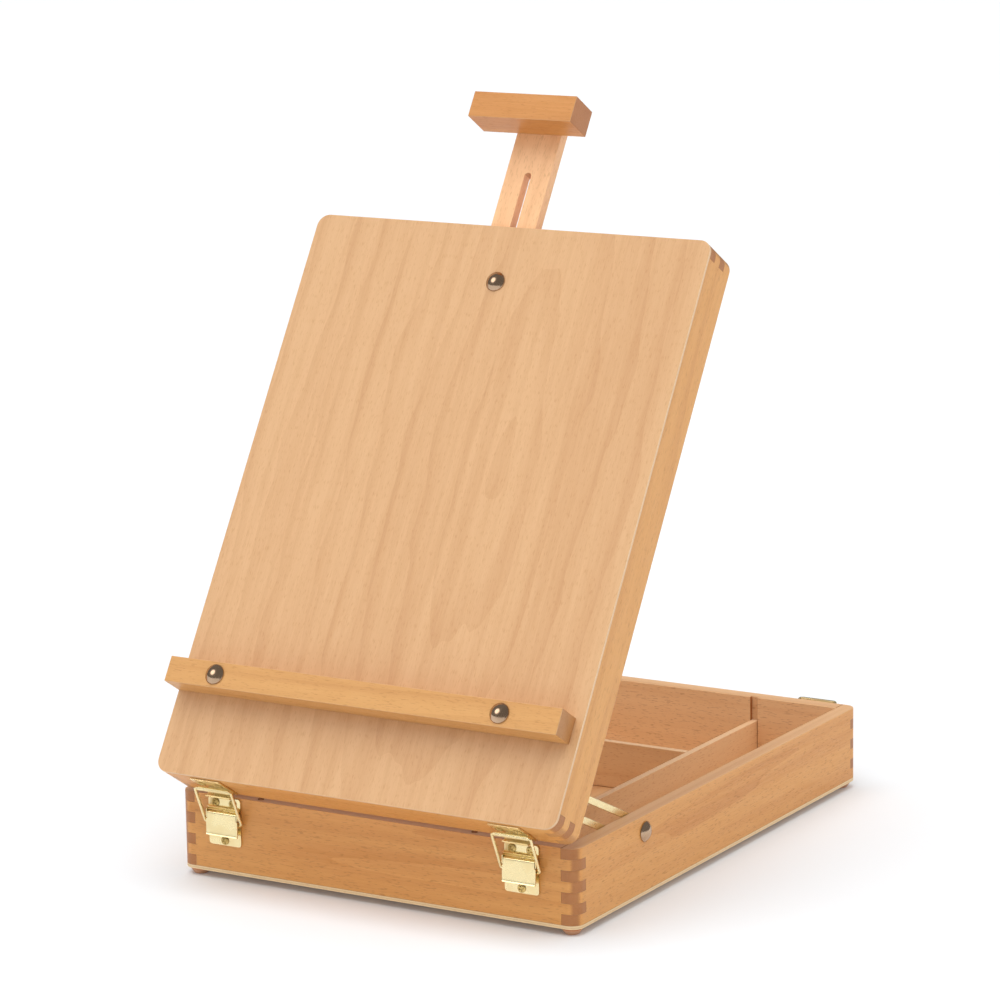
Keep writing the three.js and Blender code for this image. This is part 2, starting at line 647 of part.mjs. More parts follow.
function addLid(easel) {
  const hinge = new THREE.Group();
  hinge.position.set(0, HINGE_Y, HINGE_Z);
  hinge.rotation.x = TILT;
  const lid = new THREE.Group();
  lid.position.set(0, -HINGE_Y, -HINGE_Z);
  hinge.add(lid);
  easel.add(hinge);
  lid.add(part('lid_front_rail', lidFrontRail(), BEECH));
  lid.add(part('lid_rear_rail', lidRearRail(), BEECH));
  lid.add(part('lid_left_rail', lidSideRail('left', -1), BEECH));
  lid.add(part('lid_right_rail', lidSideRail('right', 1), BEECH));
  lid.add(part('lid_panel', lidPanel(), PANEL_BEECH));
  lid.add(part('canvas_ledge', canvasLedge(), BEECH));
  for (const side of ['left', 'right']) {
    const x = LEDGE_BOLT_XS[side];
    lid.add(part(`ledge_bolt_${side}`, ledgeBolt(x), NICKEL));
    const y = FRONT + LEDGE_OFFSET + LEDGE_HEIGHT / 2;
    lid.add(part(`ledge_nut_${side}`, hexNut(x, y, PANEL_BASE - 1 - GAP), NICKEL));
  }
  addCatches(lid);
  addMast(lid);
  for (const [side, sign] of [['left', -1], ['right', 1]]) {
    const screw = part(`arm_pivot_${side}`, armPivotScrew(), BRASS);
    const x = sign * (RIGHT - WALL - GAP);
    screw.position.set(x, FRONT + ARM_PIVOT.offset, LID_BASE + ARM_PIVOT.rise);
    screw.rotation.y = -sign * Math.PI / 2;
    lid.add(screw);
  }
}

// Where a point drawn on the closed lid lies once the lid is tilted.
function onTiltedLid(y, z) {
  const cos = Math.cos(TILT);
  const sin = Math.sin(TILT);
  const dy = y - HINGE_Y;
  const dz = z - HINGE_Z;
  return { y: HINGE_Y + dy * cos - dz * sin, z: HINGE_Z + dy * sin + dz * cos };
}

function addArms(easel) {
  const pivot = onTiltedLid(FRONT + ARM_PIVOT.offset, LID_BASE + ARM_PIVOT.rise);
  for (const [side, sign] of [['left', -1], ['right', 1]]) {
    const arm = part(`arm_${side}`, sideArm(), BRASS);
    arm.position.set(sign * (RIGHT - WALL - GAP - ARM_SHEET / 2), pivot.y, pivot.z);
    arm.rotation.x = ARM_ANGLE;
    easel.add(arm);
    const bolt = part(`side_bolt_${side}`, sideBolt(), NICKEL);
    bolt.position.set(sign * (RIGHT - WALL), SIDE_BOLT.y, SIDE_BOLT.z);
    bolt.rotation.y = sign * Math.PI / 2;
    easel.add(bolt);
    const nut = new THREE.Group();
    const x = sign * (RIGHT - WALL - ARM_SHEET - 3 * GAP);
    nut.position.set(x, SIDE_BOLT.y, SIDE_BOLT.z);
    nut.rotation.y = sign * Math.PI / 2;
    const wings = part(`side_wing_nut_${side}`, wingNut(), NICKEL);
    wings.rotation.z = Math.PI / 2;
    nut.add(wings);
    easel.add(nut);
  }
}

const easel = new THREE.Group();
addBox(easel);
addLatches(easel);
addLid(easel);
addArms(easel);

const outline = new THREE.Box3().setFromObject(easel, true);
const middle = outline.getCenter(new THREE.Vector3());
easel.position.set(-middle.x, -middle.y, -outline.min.z);

export default easel;
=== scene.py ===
# A wooden table easel: a finger-jointed beech sketch box, its lid tilted up as a painting board.
# Metres, in the frame's own axes: +X to the right along the front, +Y to the back, +Z up.
import json
import math

import bmesh
import bpy
from mathutils import Matrix, Vector
from mathutils.bvhtree import BVHTree


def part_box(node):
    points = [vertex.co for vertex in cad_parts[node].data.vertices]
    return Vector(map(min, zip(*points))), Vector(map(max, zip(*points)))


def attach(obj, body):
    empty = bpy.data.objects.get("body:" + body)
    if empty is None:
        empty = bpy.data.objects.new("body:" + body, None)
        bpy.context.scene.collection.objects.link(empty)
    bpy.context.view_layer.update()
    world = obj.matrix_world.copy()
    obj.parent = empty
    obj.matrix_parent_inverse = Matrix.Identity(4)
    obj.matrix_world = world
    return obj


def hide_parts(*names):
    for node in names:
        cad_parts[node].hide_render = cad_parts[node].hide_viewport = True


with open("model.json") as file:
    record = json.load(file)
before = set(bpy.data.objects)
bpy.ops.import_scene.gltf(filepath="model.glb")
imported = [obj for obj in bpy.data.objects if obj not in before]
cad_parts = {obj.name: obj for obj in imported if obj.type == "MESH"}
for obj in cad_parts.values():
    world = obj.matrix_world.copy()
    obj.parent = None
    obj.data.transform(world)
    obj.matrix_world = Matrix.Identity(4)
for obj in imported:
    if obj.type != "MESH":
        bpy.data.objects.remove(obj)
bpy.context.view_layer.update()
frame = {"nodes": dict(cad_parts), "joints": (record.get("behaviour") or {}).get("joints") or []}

MM = 0.001
X, Y, Z = 0, 1, 2
SIDES = ("left", "right")
ENDS = ("front", "rear")
SIGN = {"left": -1, "right": 1}

PANEL_LOW, PANEL_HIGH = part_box("box_bottom_panel")
UNDERSIDE = Vector((0, (PANEL_LOW.y + PANEL_HIGH.y) / 2, PANEL_LOW.z))
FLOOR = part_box("foot_front_left")[0].z

LID_TILT = next(joint for joint in frame["joints"] if joint["name"] == "lid_tilt")
TILT = -math.radians(LID_TILT["range_deg"][0])
HINGE = Vector(LID_TILT["pos_m"])
LID = Matrix.Translation(HINGE) @ Matrix.Rotation(TILT, 4, "X") @ Matrix.Translation(-HINGE)


# ---------------------------------------------------------------- materials

def srgb(red, green, blue):
    """A colour given as 0-255 display values, as linear RGBA."""
    def linear(value):
        value /= 255
        return value / 12.92 if value <= 0.04045 else ((value + 0.055) / 1.055) ** 2.4
    return (linear(red), linear(green), linear(blue), 1)


class Shader:
    """A material being put together: each call adds a node and returns its output."""

    def __init__(self, name):
        self.material = bpy.data.materials.new(name)
        self.material.use_nodes = True
        self.nodes = self.material.node_tree.nodes
        self.links = self.material.node_tree.links
        self.surface = self.nodes["Principled BSDF"]

    def add(self, kind, values=None, output=0, **settings):
        node = self.nodes.new("ShaderNode" + kind)
        for key, value in settings.items():
            setattr(node, key, value)
        for key, value in (values or {}).items():
            self.put(node.inputs[key], value)
        return node.outputs[output]

    def put(self, socket, value):
        if isinstance(value, bpy.types.NodeSocket):
            self.links.new(value, socket)
        else:
            socket.default_value = value

    def math(self, operation, first, second=0.0):
        return self.add("Math", {0: first, 1: second}, operation=operation)

    def ramp(self, value, low, high, start=0.0, end=1.0):
        values = {"Value": value, "From Min": low, "From Max": high, "To Min": start, "To Max": end}
        return self.add("MapRange", values, interpolation_type="SMOOTHSTEP")

    def mix(self, share, first, second):
        return self.add("Mix", {0: share, 6: first, 7: second}, output=2, data_type="RGBA")

    def scaled(self, vector, factors):
        return self.add("VectorMath", {0: vector, 1: factors}, operation="MULTIPLY")

    def dot(self, first, second):
        return self.add("VectorMath", {0: first, 1: second}, output=1, operation="DOT_PRODUCT")

    def noise(self, vector, detail=2.0):
        return self.add("TexNoise", {"Vector": vector, "Scale": 1.0, "Detail": detail})

    def turned(self, vector, angle):
        values = {"Vector": vector, "Angle": angle, "Axis": (1, 0, 0)}
        return self.add("VectorRotate", values, rotation_type="AXIS_ANGLE")

    def finish(self, **inputs):
        for key, value in inputs.items():
            self.put(self.surface.inputs[key.replace("_", " ")], value)
        return self.material


# Tones of the timber, as 0-255 display values.
BEECH = {"pale": (226, 161, 87), "dark": (210, 140, 67), "fleck": (158, 98, 50), "end": (164, 100, 56)}
BOARD = {"pale": (221, 175, 127), "dark": (207, 157, 109), "fleck": (190, 134, 84), "end": (196, 142, 92)}
YELLOW = {"pale": (230, 168, 96), "dark": (219, 154, 84), "fleck": (180, 120, 64), "end": (186, 128, 76)}
PINK = {"pale": (250, 197, 146), "dark": (238, 182, 132), "fleck": (194, 136, 90), "end": (206, 150, 104)}
HONEY = {"pale": (217, 161, 96), "dark": (206, 148, 84), "fleck": (172, 116, 64), "end": (180, 124, 76)}
AMBER = {"pale": (211, 145, 79), "dark": (195, 127, 61), "fleck": (170, 106, 52), "end": (176, 112, 68)}
BARE = {"pale": (249, 215, 172), "dark": (240, 201, 155), "fleck": (196, 138, 92), "end": (200, 146, 100)}
STAINED = {"pale": (208, 122, 64), "dark": (190, 102, 48), "fleck": (146, 76, 38), "end": (170, 90, 46)}
RIM = {"pale": (240, 198, 154), "dark": (226, 180, 136)}
# A pale tone for rounded edges: partly wear, partly a painted highlight where the edges catch the light.
WORN_EDGE_AND_HIGHLIGHT = (252, 224, 184)
VENEER = {"pale": (226, 180, 130), "dark": (208, 158, 110), "fleck": (182, 130, 88)}
PLIES = {"pale": (244, 216, 170), "dark": (222, 184, 134), "fleck": (196, 150, 100)}

# How often each feature of the grain comes back in a metre, across the fibres and along them.
SWEEPS = (17.0, 0.9)
STREAKS = (120.0, 3.0)
FIBRES = (1500.0, 45.0)
PORES = (1300.0, 210.0)
END_DOTS = (700.0, 700.0)
RINGS_PER_SWEEP = 9.0


def grain_noise(s, where, grain, repeats, detail):
    """Noise drawn out along the fibres."""
    across, along = repeats
    factors = [across, across, across]
    factors[grain] = along
    return s.noise(s.scaled(where, factors), detail=detail)


def oval_layers(s, where, centre):
    """Growth layers cut along their side: nested ovals about a centre, long along the fibres (Y)."""
    offset = s.add("VectorMath", {0: where, 1: centre}, operation="SUBTRACT")
    oval = s.add("VectorMath", {0: s.scaled(offset, (22.0, 5.0, 0.0))}, output=1, operation="LENGTH")
    wander = s.noise(s.scaled(where, (26.0, 7.0, 26.0)), detail=2.0)
    return s.math("ADD", s.math("MULTIPLY", oval, 1.9), s.math("MULTIPLY", wander, 1.4))


def striped_layers(s, where, grain):
    """Growth layers cut across: stripes that run along the fibres."""
    return s.math("MULTIPLY", grain_noise(s, where, grain, SWEEPS, 1.5), RINGS_PER_SWEEP)


def edge_wear_and_highlight(s, height, on_upright, depth):
    """Wear and painted highlight at a spot: most where a face turns over into the next; on_upright is its
    start.
    """
    steep = s.math("ABSOLUTE", height)
    turning = s.math("MULTIPLY", s.ramp(steep, 0.15, 0.5, on_upright), s.ramp(steep, 0.97, 0.8))
    return s.math("MULTIPLY", turning, depth)


def wood(name, grain, tone, tilt=0.0, seed=0.0, bare_top=False, inner=None, oval=None):
    """Satin-lacquered timber with its fibres along one axis of the piece's own frame.

    The face turned towards inner, if given, is left pale, as the inside of the box is.
    With oval, a point, the growth layers show as ovals about it instead of as stripes.
    """
    s = Shader(name)
    flat = s.turned(s.add("TexCoord", output="Object"), -tilt)
    facing = s.turned(s.add("TexCoord", output="Normal"), -tilt)
    where = s.add("VectorMath", {0: flat, 1: (seed * 1.7, seed * 0.9, seed * 2.3)}, operation="ADD")

    layers = oval_layers(s, flat, oval) if oval else striped_layers(s, where, grain)
    ring_line = s.ramp(s.math("FRACT", layers), 0.55, 0.98)
    streak = grain_noise(s, where, grain, STREAKS, 3.0)
    fibre = grain_noise(s, where, grain, FIBRES, 2.0)
    fleck = s.ramp(grain_noise(s, where, grain, PORES, 1.0), 0.57, 0.72)

    axis = [0, 0, 0]
    axis[grain] = 1
    end_share = s.ramp(s.math("ABSOLUTE", s.dot(facing, axis)), 0.30, 0.62)
    end_dots = grain_noise(s, where, grain, END_DOTS, 2.0)

    pale, dark, fleck_tone, end = (srgb(*tone[key]) for key in ("pale", "dark", "fleck", "end"))
    ring_shade = s.math("MULTIPLY", ring_line, 0.38 if oval else 0.45)
    shade = s.math("ADD", ring_shade, s.ramp(streak, 0.3, 0.75, 0.0, 0.6))
    shade = s.math("ADD", shade, s.ramp(fibre, 0.3, 0.7, -0.12, 0.14))
    if inner:
        inside = s.ramp(s.dot(facing, inner), 0.6, 0.8)
        pale = s.mix(inside, pale, srgb(*BARE["pale"]))
        dark = s.mix(inside, dark, srgb(*BARE["dark"]))
    face = s.mix(shade, pale, dark)
    face = s.mix(s.math("MULTIPLY", fleck, 0.34), face, fleck_tone)
    end_tone = s.mix(s.ramp(end_dots, 0.35, 0.7, 0.0, 0.5), end, fleck_tone)
    end_tone = s.mix(s.math("MULTIPLY", ring_line, 0.35), end_tone, fleck_tone)
    colour = s.mix(s.math("MULTIPLY", end_share, 0.75), face, end_tone)

    height = s.add("SeparateXYZ", {0: facing}, output="Z")
    # Rounded edges, and the board's thin sides, are painted paler: partly wear, partly painted highlight.
    worn_and_lit = edge_wear_and_highlight(s, height, 0.7, 0.65) if oval else edge_wear_and_highlight(s, height, 0.0, 0.3)
    colour = s.mix(worn_and_lit, colour, srgb(*WORN_EDGE_AND_HIGHLIGHT))
    if bare_top:
        bare = s.mix(s.ramp(streak, 0.3, 0.7), srgb(*RIM["pale"]), srgb(*RIM["dark"]))
        colour = s.mix(s.ramp(height, 0.9, 0.99, 0.0, 0.75), colour, bare)

    relief = s.math("SUBTRACT", s.math("MULTIPLY", fibre, 0.35), fleck)
    bump = s.add("Bump", {"Height": relief, "Strength": 0.25, "Distance": 0.12 * MM})
    polish = s.math("ADD", s.ramp(fibre, 0.3, 0.7, 0.40, 0.52), s.math("MULTIPLY", fleck, 0.12))
    return s.finish(Base_Color=colour, Roughness=polish, Normal=bump,
                    Coat_Weight=0.12, Coat_Roughness=0.25)


def plywood(name):
    """Thin beech plywood: veneer on its faces, pale plies with darker glue lines at its edges."""
    s = Shader(name)
    where = s.add("TexCoord", output="Object")
    facing = s.add("SeparateXYZ", {0: s.add("TexCoord", output="Normal")}, output="Z")
    streak = s.noise(s.scaled(where, (110.0, 3.0, 110.0)), detail=3.0)
    pores = s.noise(s.scaled(where, (900.0, 150.0, 900.0)), detail=1.0)
    veneer = s.mix(s.ramp(streak, 0.3, 0.75), srgb(*VENEER["pale"]), srgb(*VENEER["dark"]))
    veneer = s.mix(s.ramp(pores, 0.62, 0.74, 0.0, 0.3), veneer, srgb(*VENEER["fleck"]))
    rise = s.math("SUBTRACT", s.add("SeparateXYZ", {0: where}, output="Z"), PANEL_LOW.z)
    level = s.math("DIVIDE", rise, PANEL_HIGH.z - PANEL_LOW.z)
    core = s.math("MULTIPLY", s.ramp(level, 0.28, 0.36), s.ramp(level, 0.72, 0.64))
    grit = s.noise(s.scaled(where, (420.0, 420.0, 1600.0)), detail=3.0)
    edge = s.mix(s.math("MULTIPLY", core, 0.6), srgb(*PLIES["pale"]), srgb(*PLIES["dark"]))
    edge = s.mix(s.ramp(grit, 0.5, 0.8, 0.0, 0.4), edge, srgb(*PLIES["fleck"]))
    colour = s.mix(s.ramp(s.math("ABSOLUTE", facing), 0.6, 0.8), edge, veneer)
    bump = s.add("Bump", {"Height": grit, "Strength": 0.2, "Distance": 0.15 * MM})
    return s.finish(Base_Color=colour, Roughness=s.ramp(streak, 0.3, 0.7, 0.48, 0.6), Normal=bump)


def metal(name, bright, dull, smooth, rough):
    """Plated metal: faint mottling in its colour, fine scratches and a soft change in its polish."""
    s = Shader(name)
    where = s.add("TexCoord", output="Object")
    cloud = s.noise(s.scaled(where, (90.0, 90.0, 90.0)), detail=1.5)
    scratch = s.noise(s.scaled(where, (300.0, 2600.0, 2600.0)), detail=2.0)
    colour = s.mix(s.ramp(cloud, 0.35, 0.75), srgb(*bright), srgb(*dull))
    scuffs = s.ramp(scratch, 0.55, 0.75, 0.0, 0.06)
    polish = s.math("ADD", s.ramp(cloud, 0.3, 0.75, smooth, rough), scuffs)
    bump = s.add("Bump", {"Height": scratch, "Strength": 0.04, "Distance": 0.01 * MM})
    return s.finish(Base_Color=colour, Metallic=1.0, Roughness=polish, Normal=bump)


BRASS = metal("brass_plate", (247, 229, 178), (241, 219, 164), 0.26, 0.30)
# The screw heads' darker brass is painted shade: the shade of their cross recesses, painted into their
# colour.
SCREW_SHADE_BRASS = metal("screw_shade_brass", (212, 182, 116), (188, 158, 94), 0.24, 0.32)
NICKEL = metal("nickel_plate", (198, 168, 140), (182, 152, 124), 0.14, 0.22)
ZINC = metal("zinc_cast", (190, 190, 188), (150, 150, 150), 0.30, 0.45)


# ---------------------------------------------------------------- pieces from the frame's own solids

def closed_box(node):
    """A lid node's low and high corners with the lid turned shut, where it lies square to the axes."""
    points = [LID.inverted() @ vertex.co for vertex in frame["nodes"][node].data.vertices]
    low = Vector([min(point[axis] for point in points) for axis in (X, Y, Z)])
    high = Vector([max(point[axis] for point in points) for axis in (X, Y, Z)])
    return low, high


def middle(low, high):
    """The point halfway between two corners."""
    return (low + high) / 2


def clean_solid(node):
    """A CAD node's solid with its flat faces whole again, as a bmesh."""
    bm = bmesh.new()
    bm.from_mesh(frame["nodes"][node].data)
    bmesh.ops.remove_doubles(bm, verts=bm.verts, dist=1e-6)
    bmesh.ops.dissolve_limit(bm, angle_limit=math.radians(0.5), verts=bm.verts, edges=bm.edges)
    bmesh.ops.recalc_face_normals(bm, faces=bm.faces)
    return bm


def show(name, bm, material, body, nodes, screws=None):
    """Turns a bmesh into a shown piece that rides on a body and stands for its CAD nodes.

    Faces with material index 1, the heads of screws, take the material screws.
    """
    for edge in bm.edges:
        edge.smooth = edge.calc_face_angle(0.0) < math.radians(52)
    mesh = bpy.data.meshes.new(name)
    bm.to_mesh(mesh)
    bm.free()
    for attribute in ("custom_normal", "UVMap"):
        if attribute in mesh.attributes:
            mesh.attributes.remove(mesh.attributes[attribute])
    mesh.polygons.foreach_set("use_smooth", [True] * len(mesh.polygons))
    mesh.materials.append(material)
    if screws:
        mesh.materials.append(screws)
    piece = bpy.data.objects.new(name, mesh)
    bpy.context.scene.collection.objects.link(piece)
    weighted = piece.modifiers.new("weighted_normals", "WEIGHTED_NORMAL")
    weighted.keep_sharp = True
    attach(piece, body)
    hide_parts(*nodes)
    return piece


def neighbour_trees(nodes):
    """A search tree over the faces of each node."""
    trees = []
    for node in nodes:
        bm = clean_solid(node)
        trees.append(BVHTree.FromBMesh(bm))
        bm.free()
    return trees


def is_free(edge, trees, reach=0.5 * MM):
    """True if the edge touches no neighbour, so it isn't part of a glued joint."""
    ends = [vertex.co for vertex in edge.verts]
    points = [ends[0].lerp(ends[1], share) for share in (0.2, 0.5, 0.8)]
    return all(tree.find_nearest(point, reach)[0] is None for tree in trees for point in points)


def eased(node, material, body, width, neighbours=(), segments=3):
    """A CAD solid with its free edges rounded over; edges glued to a neighbour stay crisp."""
    bm = clean_solid(node)
    trees = neighbour_trees([other for other in neighbours if other != node])
    corners = [edge for edge in bm.edges if edge.calc_face_angle(0.0) > math.radians(35)]
    edges = [edge for edge in corners if edge.is_convex and is_free(edge, trees)]
    bmesh.ops.bevel(bm, geom=edges, offset=width, offset_type="OFFSET", segments=segments,
                    profile=0.5, affect="EDGES", clamp_overlap=True)
    return show(node + "_finished", bm, material, body, [node])


# ---------------------------------------------------------------- new solids

def add_lathe(bm, profile, matrix, segments=40):
    """Adds a solid turned about Z; the profile's (radius, height) points start and end on the axis."""
    rings = []
    for radius, height in profile:
        count = 1 if radius < 1e-9 else segments
        angles = [2 * math.pi * step / count for step in range(count)]
        points = [Vector((radius * math.cos(a), radius * math.sin(a), height)) for a in angles]
        rings.append([bm.verts.new(matrix @ point) for point in points])
    for lower, upper in zip(rings, rings[1:]):
        for step in range(segments):
            corners = [lower[step % len(lower)], lower[(step + 1) % len(lower)],
                       upper[(step + 1) % len(upper)], upper[step % len(upper)]]
            unique = list(dict.fromkeys(corners))
            if len(unique) > 2:
                bm.faces.new(unique)


def add_block(bm, low, high, matrix, width, segments=2):
    """Adds a box with rounded edges to bm."""
    centre = (Vector(low) + Vector(high)) / 2
    size = Vector(high) - Vector(low)
    shape = Matrix.Translation(centre) @ Matrix.Diagonal((*size, 1))
    made = bmesh.ops.create_cube(bm, size=1, matrix=shape)
    edges = list(dict.fromkeys(edge for vertex in made["verts"] for edge in vertex.link_edges))
    result = bmesh.ops.bevel(bm, geom=edges, offset=width, segments=segments, profile=0.5,
                             affect="EDGES")
    vertices = list(dict.fromkeys(vertex for face in result["faces"] for vertex in face.verts))
    bmesh.ops.transform(bm, matrix=matrix, verts=vertices)


def arc(centre, radius, start, end, steps):
    """Points on a circle in the (out, up) plane, from one angle in degrees to another."""
    angles = [math.radians(start + (end - start) * step / steps) for step in range(steps + 1)]
    return [(centre[0] + radius * math.cos(a), centre[1] + radius * math.sin(a)) for a in angles]


def with_round_corners(points, radius, steps=5):
    """The line with points added near both ends, and how far each point's edge steps in there."""
    turns = [math.radians(90 * step / steps) for step in range(steps + 1)]
    first = (points[1] - points[0]).normalized()
    last = (points[-2] - points[-1]).normalized()
    insets = [radius * (1 - math.sin(turn)) for turn in turns]
    start = [points[0] + first * radius * (1 - math.cos(turn)) for turn in turns]
    end = [points[-1] + last * radius * (1 - math.cos(turn)) for turn in reversed(turns)]
    inside = points[1:-1]
    return start + inside + end, insets + [0.0] * len(inside) + insets[::-1]


def add_folded_sheet(bm, line, thickness, half, matrix, corner=0.0):
    """Adds sheet metal folded along a line of (out, up) points, of a given half width along X.

    With corner, a radius, the sheet's four corners at the two ends of the line are round.
    """
    points = [Vector(point) for point in line]
    insets = [0.0] * len(points)
    if corner:
        points, insets = with_round_corners(points, corner)
    rims = {-1: [], 1: []}
    for index, point in enumerate(points):
        before = points[max(index - 1, 0)]
        after = points[min(index + 1, len(points) - 1)]
        run = (after - before).normalized()
        across = Vector((-run.y, run.x)) * thickness / 2
        for side in (-1, 1):
            x = side * (half - insets[index])
            for face in (-1, 1):
                spot = point + across * face
                rims[side].append(bm.verts.new(matrix @ Vector((x, -spot.x, spot.y))))
    faces = []
    last = len(points) - 1
    for index in range(last):
        a, b = 2 * index, 2 * index + 2
        low, high = rims[-1], rims[1]
        faces.append(bm.faces.new([low[a], high[a], high[b], low[b]]))
        faces.append(bm.faces.new([low[a + 1], low[b + 1], high[b + 1], high[a + 1]]))
        faces.append(bm.faces.new([low[a], low[b], low[b + 1], low[a + 1]]))
        faces.append(bm.faces.new([high[a], high[a + 1], high[b + 1], high[b]]))
    for index in (0, 2 * last):
        corners = [rims[-1][index], rims[-1][index + 1], rims[1][index + 1], rims[1][index]]
        faces.append(bm.faces.new(corners))
    bmesh.ops.recalc_face_normals(bm, faces=faces)


def add_wire(bm, path, radius, matrix, sides=14):
    """Adds a round wire along a path of points in 3-D, with flat closed ends."""
    points = [Vector(point) for point in path]
    rings = []
    normal = None
    for index, point in enumerate(points):
        run = (points[min(index + 1, len(points) - 1)] - points[max(index - 1, 0)]).normalized()
        if normal is None:
            normal = run.orthogonal().normalized()
        normal = (normal - run * normal.dot(run)).normalized()
        other = run.cross(normal)
        angles = [2 * math.pi * step / sides for step in range(sides)]
        spots = [point + normal * math.cos(a) * radius + other * math.sin(a) * radius for a in angles]
        rings.append([bm.verts.new(matrix @ spot) for spot in spots])
    for lower, upper in zip(rings, rings[1:]):
        for step in range(sides):
            after = (step + 1) % sides
            bm.faces.new([lower[step], lower[after], upper[after], upper[step]])
    bm.faces.new(list(reversed(rings[0])))
    bm.faces.new(rings[-1])


def rounded_path(corners, radius, steps=6):
    """A path through corner points with each inner corner turned on an arc."""
    points = [Vector(corner) for corner in corners]
    path = [points[0]]
    for before, corner, after in zip(points, points[1:], points[2:]):
        start = corner + (before - corner).normalized() * radius
        end = corner + (after - corner).normalized() * radius
        for step in range(steps + 1):
            share = step / steps
            path.append(start.lerp(corner, share).lerp(corner.lerp(end, share), share))
    path.append(points[-1])
    return path


def add_cross_head(bm, radius, height, matrix, lean=0.4, rings=12, segments=48, index=0):
    """Adds a domed screw head, standing on z = 0, with a pressed cross recess turned by lean."""
    arm, reach, depth = 0.17 * radius, 0.66 * radius, 0.75 * height
    before = len(bm.faces)

    def level(r, angle):
        """The height of the head at a spot, lower inside the cross."""
        x = abs(r * math.cos(angle - lean))
        y = abs(r * math.sin(angle - lean))
        dome = height * math.sqrt(max(0.0, 1 - 0.75 * (r / radius) ** 2))
        inside = min(x, y) < arm and max(x, y) < reach
        return dome - (depth if inside else 0.0)

    rows = []
    for ring in range(rings + 1):
        r = radius * ring / rings
        count = 1 if ring == 0 else segments
        angles = [2 * math.pi * step / count for step in range(count)]
        rows.append([bm.verts.new(matrix @ Vector((r * math.cos(a), r * math.sin(a), level(r, a))))
                     for a in angles])
    rows.append([bm.verts.new(matrix @ Vector((radius * math.cos(a), radius * math.sin(a), 0)))
                 for a in [2 * math.pi * step / segments for step in range(segments)]])
    for inner, outer in zip(rows, rows[1:]):
        for step in range(segments):
            corners = [inner[step % len(inner)], outer[step], outer[(step + 1) % segments],
                       inner[(step + 1) % len(inner)]]
            unique = list(dict.fromkeys(corners))
            if len(unique) > 2:
                bm.faces.new(unique)
    bm.faces.new(list(reversed(rows[-1])))
    bm.faces.ensure_lookup_table()
    for face in bm.faces[before:]:
        face.material_index = index


def dome_profile(radius, height, base, steps=10):
    """The crown of a carriage bolt: a shallow cap of a sphere with a small rounded rim."""
    ball = (radius ** 2 + height ** 2) / (2 * height)
    top = math.asin(radius / ball)
    centre = base + height - ball
    angles = [top * step / steps for step in range(steps - 1, 0, -1)]
    cap = [(ball * math.sin(angle), centre + ball * math.cos(angle)) for angle in angles]
    return [(radius - 0.4 * MM, base), (radius, base + 0.3 * MM)] + cap + [(0, base + height)]


def thread_profile(start, end, radius, pitch=1.0 * MM, depth=0.35 * MM):
    """A threaded stretch of a shank, as rings of crest and root."""
    turns = int((end - start) / pitch)
    points = []
    for turn in range(turns):
        points.append((radius - depth, start + turn * pitch))
        points.append((radius, start + (turn + 0.5) * pitch))
    return points


# ---------------------------------------------------------------- timber

BOX_TIMBER = ["box_front_wall", "box_rear_wall", "box_left_wall", "box_right_wall", "box_bottom_panel"]
LID_TIMBER = ["lid_front_rail", "lid_rear_rail", "lid_left_rail", "lid_right_rail", "lid_panel"]
GRAINS = {"front": X, "rear": X, "left": Y, "right": Y}
INWARD = {"front": (0, 1, 0), "rear": (0, -1, 0), "left": (1, 0, 0), "right": (-1, 0, 0)}

# How far the timber's edges are rounded over.
FRAME_EDGE = 0.6 * MM
BOARD_EDGE = 1.0 * MM
PLY_EDGE = 0.35 * MM
LOOSE_EDGE = 0.5 * MM

# Where the board's oval figure lies, as shares of its width and of its length.
HEART = (0.64, 0.62)

# A foot's outline, as shares of its radius and of its height.
FOOT_SHAPE = [(0, 0), (0.60, 0), (0.68, 0.05), (0.95, 0.66), (1, 0.80), (1, 0.94), (0.95, 1), (0, 1)]


def build_box_timber():
    """The box's walls, its plywood bottom and its two dividers."""
    for seed, (side, grain) in enumerate(GRAINS.items()):
        node = f"box_{side}_wall"
        look = wood(node + "_beech", grain, BEECH, seed=seed + 0.3, bare_top=True, inner=INWARD[side])
        eased(node, look, "box", FRAME_EDGE, BOX_TIMBER)
    eased("box_bottom_panel", plywood("ply"), "box", PLY_EDGE, BOX_TIMBER[:4], segments=2)
    divider = wood("divider_beech_long", Y, BARE, seed=5.1, bare_top=True)
    eased("main_divider", divider, "box", LOOSE_EDGE)
    divider = wood("divider_beech_cross", X, BARE, seed=6.4, bare_top=True)
    eased("cross_divider", divider, "box", LOOSE_EDGE)


def board_heart():
    """The point the board's oval figure lies around, in the lid's turned frame."""
    low, high = closed_box("lid_panel")
    across, along = HEART
    heart = Vector((low.x + across * (high.x - low.x), low.y + along * (high.y - low.y), high.z))
    return heart + (Matrix.Rotation(-TILT, 4, "X") @ HINGE - HINGE)


def build_lid_timber():
    """The lid's rails and board, the ledge bolted across it, and the mast with its clamp block."""
    for seed, (side, grain) in enumerate(GRAINS.items()):
        node = f"lid_{side}_rail"
        look = wood(node + "_beech", grain, YELLOW if grain == Y else BEECH, tilt=TILT, seed=seed + 7.2)
        eased(node, look, "lid", FRAME_EDGE, LID_TIMBER)
    board = wood("board_beech", Y, BOARD, tilt=TILT, seed=11.6, oval=tuple(board_heart()))
    eased("lid_panel", board, "lid", BOARD_EDGE, LID_TIMBER)
    ledge = wood("ledge_beech", X, HONEY, tilt=TILT, seed=12.4)
    eased("canvas_ledge", ledge, "lid", LOOSE_EDGE)
    eased("mast", wood("mast_beech", Y, PINK, tilt=TILT, seed=13.7), "mast", LOOSE_EDGE)
    head = wood("head_beech", X, AMBER, tilt=TILT, seed=14.9)
    eased("mast_head", head, "mast", LOOSE_EDGE)


